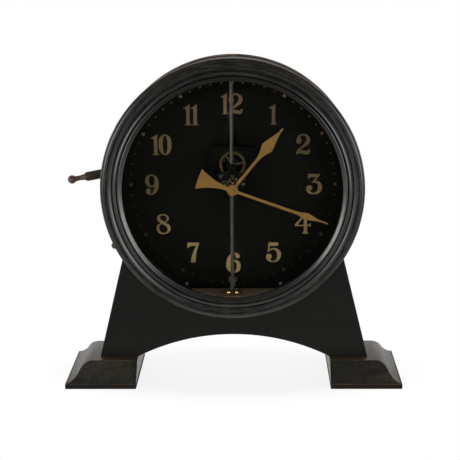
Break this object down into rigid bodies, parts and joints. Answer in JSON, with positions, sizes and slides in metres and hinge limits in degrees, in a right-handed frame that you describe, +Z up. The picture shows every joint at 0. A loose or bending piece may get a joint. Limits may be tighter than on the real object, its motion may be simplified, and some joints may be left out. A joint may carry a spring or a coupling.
{
  "type": "rack clock",
  "caption": "Gravity rack clock in a round glazed wooden drum on an arched base, with a side lever that lifts the falling movement.",
  "frame": {"origin": "on the table under the middle of the two feet, at the centre of their depth", "axes": "front faces -Y, +X to the right seen from the front, +Z up"},
  "size_m": [0.316, 0.096, 0.3065],
  "materials": {
    "ebonised_wood": "satin black stain and polish, worn at the edges",
    "worn_ebonised_wood": "worn black stain showing reddish wood on the edges",
    "floor_wood": "dull grey-brown stained wood",
    "dial_black": "matt black",
    "bright_screw": "polished",
    "brass": "aged",
    "sight_metal": "dark satin",
    "glass": "clear",
    "rack_steel": "polished steel with a faint brown tone",
    "dark_steel": "blackened",
    "handle_wood": "brown turned wood, worn",
    "wheel_brass": "dull",
    "motion_steel": "satin",
    "blued_steel": "blued",
    "gilt_brass": "gilt, satin"
  },
  "bodies": {
    "case": {"foot_left": "worn_ebonised_wood", "foot_right": "worn_ebonised_wood", "base_front_panel": "ebonised_wood", "base_back_panel": "ebonised_wood", "base_side_left": "ebonised_wood", "base_side_right": "ebonised_wood", "base_soffit": "ebonised_wood", "drum_shell": "ebonised_wood", "floor_block": "floor_wood", "dial_plate": "dial_black", "dial_screws": "bright_screw", "back_cover": "ebonised_wood", "back_cover_screws": "brass", "hinge_drum_leaf": "brass", "hinge_pin": "brass", "rack": "rack_steel", "rack_foot": "brass", "rack_top_block": "brass", "rack_screws": "brass", "rack_stop": "dark_steel", "lever_pivot": "rack_steel", "lever_collar": "brass"},
    "door": {"bezel_ring": "ebonised_wood", "sight_ring": "sight_metal", "glass": "glass", "glass_retainer": "brass", "catch_knob": "brass", "hinge_door_leaf": "brass"},
    "lever": {"lever_arm": "dark_steel", "lever_ferrule": "handle_wood", "lever_handle": "handle_wood"},
    "movement": {"front_plate": "dark_steel", "back_plate": "dark_steel", "pillars": "dark_steel", "rack_guides": "dark_steel", "rack_keeper": "brass", "front_bridge": "dark_steel", "movement_screws": "bright_screw", "hand_studs": "rack_steel", "lift_bracket": "dark_steel", "balance_cock": "dark_steel"},
    "pinion": {"rack_pinion": "rack_steel"},
    "great": {"great_wheel": "wheel_brass"},
    "click": {"click": "rack_steel"},
    "intermediate": {"intermediate_wheel": "wheel_brass"},
    "centre": {"centre_wheel": "wheel_brass"},
    "third": {"third_wheel": "wheel_brass"},
    "fourth": {"fourth_wheel": "wheel_brass"},
    "escape": {"escape_wheel": "wheel_brass"},
    "pallet": {"pallet_lever": "rack_steel"},
    "balance": {"balance_staff": "rack_steel", "balance_wheel": "wheel_brass", "hairspring": "blued_steel"},
    "drive": {"drive_wheel": "motion_steel"},
    "minute": {"cannon_pinion": "motion_steel", "minute_hand": "gilt_brass", "hand_nut": "gilt_brass"},
    "minute_gear": {"minute_wheel": "wheel_brass"},
    "hour": {"hour_wheel": "motion_steel", "hour_hand": "gilt_brass"}
  },
  "joints": [
    {"name": "movement_slide", "type": "slide", "parent": "case", "child": "movement", "axis": [0, 0, 1], "range_m": [-0.006, 0.011]},
    {"name": "lever_hinge", "type": "hinge", "parent": "case", "child": "lever", "pos_m": [-0.08, 0.015, 0.2023], "axis": [0, -1, 0], "range_deg": [-5, 8.5]},
    {"name": "rack_pinion_spin", "type": "hinge", "parent": "movement", "child": "pinion", "pos_m": [0.0037, 0, 0.194], "axis": [0, -1, 0], "range_deg": [-125, 220]},
    {"name": "door_hinge", "type": "hinge", "parent": "case", "child": "door", "pos_m": [0.1204, -0.0159, 0.1842], "axis": [0, 0, 1], "range_deg": [0, 105]},
    {"name": "minute_spin", "type": "hinge", "parent": "movement", "child": "minute", "pos_m": [0, 0, 0.1842], "axis": [0, -1, 0], "continuous": true},
    {"name": "drive_spin", "type": "hinge", "parent": "movement", "child": "drive", "pos_m": [-0.0069, 0, 0.1886], "axis": [0, -1, 0], "continuous": true},
    {"name": "minute_gear_spin", "type": "hinge", "parent": "movement", "child": "minute_gear", "pos_m": [0.0002, 0, 0.19045], "axis": [0, -1, 0], "continuous": true},
    {"name": "hour_spin", "type": "hinge", "parent": "movement", "child": "hour", "pos_m": [0, 0, 0.1842], "axis": [0, -1, 0], "continuous": true},
    {"name": "fourth_spin", "type": "hinge", "parent": "movement", "child": "fourth", "pos_m": [-0.0095, 0, 0.20229], "axis": [0, -1, 0], "continuous": true},
    {"name": "third_spin", "type": "hinge", "parent": "movement", "child": "third", "pos_m": [-0.01302, 0, 0.19568], "axis": [0, -1, 0], "continuous": true},
    {"name": "centre_spin", "type": "hinge", "parent": "movement", "child": "centre", "pos_m": [-0.0069, 0, 0.1886], "axis": [0, -1, 0], "continuous": true},
    {"name": "intermediate_spin", "type": "hinge", "parent": "movement", "child": "intermediate", "pos_m": [0.00076, 0, 0.18236], "axis": [0, -1, 0], "continuous": true},
    {"name": "great_spin", "type": "hinge", "parent": "movement", "child": "great", "pos_m": [0.0037, 0, 0.194], "axis": [0, -1, 0], "continuous": true},
    {"name": "escape_spin", "type": "hinge", "parent": "movement", "child": "escape", "pos_m": [-0.00762, 0, 0.20953], "axis": [0, -1, 0], "continuous": true},
    {"name": "pallet_swing", "type": "hinge", "parent": "movement", "child": "pallet", "pos_m": [-0.00286, 0, 0.21108], "axis": [0, -1, 0], "range_deg": [-6, 6]},
    {"name": "balance_swing", "type": "hinge", "parent": "movement", "child": "balance", "pos_m": [0, 0, 0.2065], "axis": [0, -1, 0], "range_deg": [-220, 220], "stiffness_Nm_per_rad": 0.00008, "deforming": ["hairspring"]},
    {"name": "click_lift", "type": "hinge", "parent": "great", "child": "click", "pos_m": [0.00028, 0, 0.20254], "axis": [0, -1, 0], "range_deg": [0, 10], "stiffness_Nm_per_rad": 0.001}
  ],
  "couplings": [
    {"joint": "lever_hinge", "follows": "movement_slide", "rad_per_m": 12.6},
    {"joint": "rack_pinion_spin", "follows": "movement_slide", "rad_per_m": 333.33},
    {"joint": "drive_spin", "follows": "minute_spin", "ratio": -1},
    {"joint": "minute_gear_spin", "follows": "minute_spin", "ratio": -0.33333},
    {"joint": "hour_spin", "follows": "minute_spin", "ratio": 0.083333},
    {"joint": "third_spin", "follows": "fourth_spin", "ratio": -0.13333},
    {"joint": "centre_spin", "follows": "fourth_spin", "ratio": 0.016667},
    {"joint": "intermediate_spin", "follows": "fourth_spin", "ratio": -0.0044444},
    {"joint": "great_spin", "follows": "fourth_spin", "ratio": 0.00049383},
    {"joint": "escape_spin", "follows": "fourth_spin", "ratio": -10}
  ]
}
